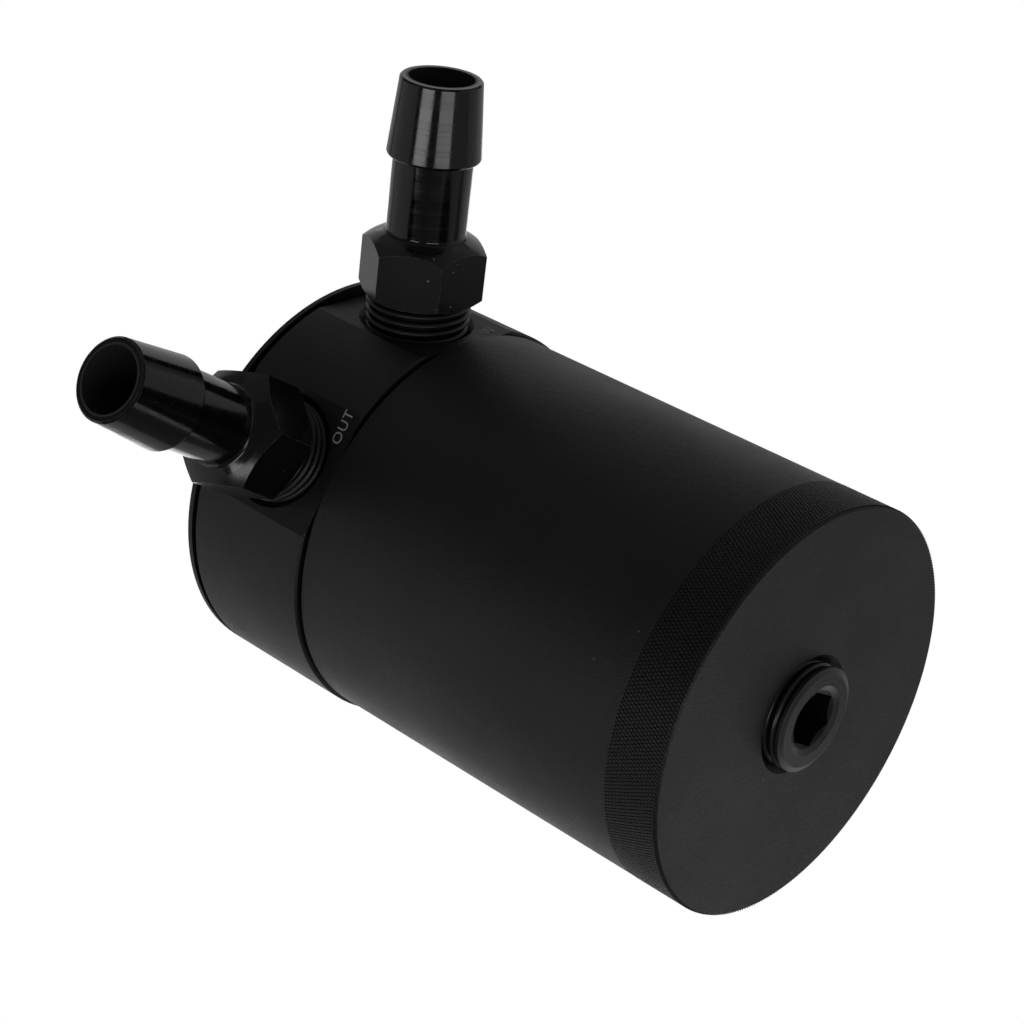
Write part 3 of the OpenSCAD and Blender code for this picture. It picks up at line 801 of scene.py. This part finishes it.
def pointOutwards(mesh):
    shape = bmesh.new()
    shape.from_mesh(mesh)
    bmesh.ops.recalc_face_normals(shape, faces=shape.faces)
    shape.to_mesh(mesh)
    shape.free()

knurl = {
    "around": 340,
    "rows": 16,
    "rootRadius": 32.40,        # mm
    "crestRadius": 32.52,       # mm
    "lowEdge": 0.1,             # mm above the end face
    "highEdge": 9.9,            # mm above the end face
    "flatTop": 0.75,            # of a diamond's foot
    "fill": 0.96,               # of the room that a diamond has
    "sunk": 0.02,               # mm, how far its foot lies under the band
}

def makeKnurl():
    step = (knurl["highEdge"] - knurl["lowEdge"]) / (knurl["rows"] + 1)
    width = 2 * math.pi * knurl["rootRadius"] / knurl["around"]
    foot = knurl["rootRadius"] - knurl["sunk"]
    growPiece("knurl", makeKnurlTree(), {
        "Around": knurl["around"], "Rows": knurl["rows"], "Radius": foot * mm,
        "First row": endZ + (knurl["lowEdge"] + step) * mm, "Row step": step * mm,
        "Width": width * knurl["fill"] * mm, "Length": 2 * step * knurl["fill"] * mm,
        "Height": (knurl["crestRadius"] - foot) * mm, "Flat top": knurl["flatTop"],
        "Finish": canBlack}, "can")

pipeThread = {
    "pitch": 1.411,             # mm
    "depth": 0.8,               # mm
    "crest": 0.36,              # mm, the ridge's flat top
    "root": 1.39,               # mm, the ridge's foot
    "taper": 0.0625,            # of diameter to length
    "steps": 72,                # to a turn
    "radius": 7.65,             # mm, of the fittings' stems at the large end
    "turns": 4.2,
    "start": 35.9,              # mm from the can's axis
    "plugRadius": 7.60,         # mm
    "plugTurns": 6.6,
    "plugStart": -1.35,         # mm above the can's end face
}
spigotThread = {
    "pitch": 1.5,               # mm
    "depth": 0.72,              # mm
    "crest": 0.2,               # mm
    "root": 1.3,                # mm
    "taper": 0.0,
    "steps": 120,
    "radius": 28.12,            # mm
    "turns": 6.8,
    "start": 0.9,               # mm above the spigot's end
}
threadSunk = 0.03               # mm, how far a ridge's foot lies under its stem

def alongPort(azimuth, distance):
    # a place on a port's axis, with Z pointing in towards the head
    turn = Matrix.Rotation(math.radians(azimuth), 4, "Z")
    return turn @ Matrix.Translation((distance, 0, portZ)) @ Matrix.Rotation(-math.pi / 2, 4, "Y")

def growThread(name, tree, look, radius, turns, finish, body, place):
    foot = radius - threadSunk
    shrink = turns * look["pitch"] * look["taper"] / 2
    growPiece(name, tree, {
        "Pitch": look["pitch"] * mm, "Turns": turns, "Steps": look["steps"], "Start radius": foot * mm,
        "End radius": (foot - shrink) * mm, "Depth": look["depth"] * mm, "Crest": look["crest"] * mm,
        "Root": look["root"] * mm, "Finish": finish}, body, place)

def makeThreads():
    tree = makeThreadTree()
    pipe, spigot = pipeThread, spigotThread
    for name, azimuth, finish in (("outletThread", outletAzimuth, outletGloss),
                                  ("inletThread", inletAzimuth, inletGloss)):
        growThread(name, tree, pipe, pipe["radius"], pipe["turns"], finish, "head",
                   alongPort(azimuth, pipe["start"] * mm))
    growThread("plugThread", tree, pipe, pipe["plugRadius"], pipe["plugTurns"], satinPlug, "drain_plug",
               Matrix.Translation((0, 0, endZ + pipe["plugStart"] * mm)))
    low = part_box("head")[0].z + spigot["start"] * mm
    growThread("spigotThread", tree, spigot, spigot["radius"], spigot["turns"], headBlack, "head",
               Matrix.Translation((0, 0, low)))

makeKnurl()
makeThreads()
print("knurl and threads made")


# Port marks: the words stand a hair proud of the flats

portMarks = {
    "flat": 31.4,               # mm from the axis
    "height": 1.75,             # mm, of a capital
    "z": -23.15,                # mm, middle of the letters
    "proud": 0.012,             # mm
    "spacing": 1.08,            # of the font's own
    "curveSteps": 6,
    # name, word, azimuth of the flat and mm across it
    "words": (("outMark", "OUT", outletAzimuth, 7.4), ("inMark", "IN", inletAzimuth, 6.8)),
}

def makeMarks():
    for name, word, azimuth, across in portMarks["words"]:
        letters = bpy.data.curves.new(name, "FONT")
        letters.body = word
        letters.align_x = "CENTER"
        letters.size = 1.0
        letters.space_character = portMarks["spacing"]
        letters.resolution_u = portMarks["curveSteps"]
        letters.extrude = 0.5
        text = bpy.data.objects.new(name + "Text", letters)
        bpy.context.scene.collection.objects.link(text)
        mesh = bpy.data.meshes.new_from_object(text.evaluated_get(bpy.context.evaluated_depsgraph_get()))
        bpy.data.objects.remove(text)
        tall = max(v.co.y for v in mesh.vertices)
        size = portMarks["height"] / tall
        turn = Matrix.Rotation(math.radians(azimuth), 4, "Z")
        # the letters' right is the way of growing azimuth, their up is +Z and their front is outwards
        stand = Matrix(((0, 0, 1, 0), (1, 0, 0, 0), (0, 1, 0, 0), (0, 0, 0, 1)))
        scale = Matrix.Diagonal((size * mm, size * mm, 2 * portMarks["proud"] * mm, 1))
        foot = portMarks["z"] - portMarks["height"] / 2
        middle = Matrix.Translation((portMarks["flat"] * mm, across * mm, foot * mm))
        mesh.transform(turn @ middle @ stand @ scale)
        mesh.materials.clear()
        mesh.materials.append(laserMark)
        mesh.name = name
        mark = bpy.data.objects.new(name, mesh)
        bpy.context.scene.collection.objects.link(mark)
        pointOutwards(mesh)
        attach(mark, "head")

makeMarks()
print("port marks made")
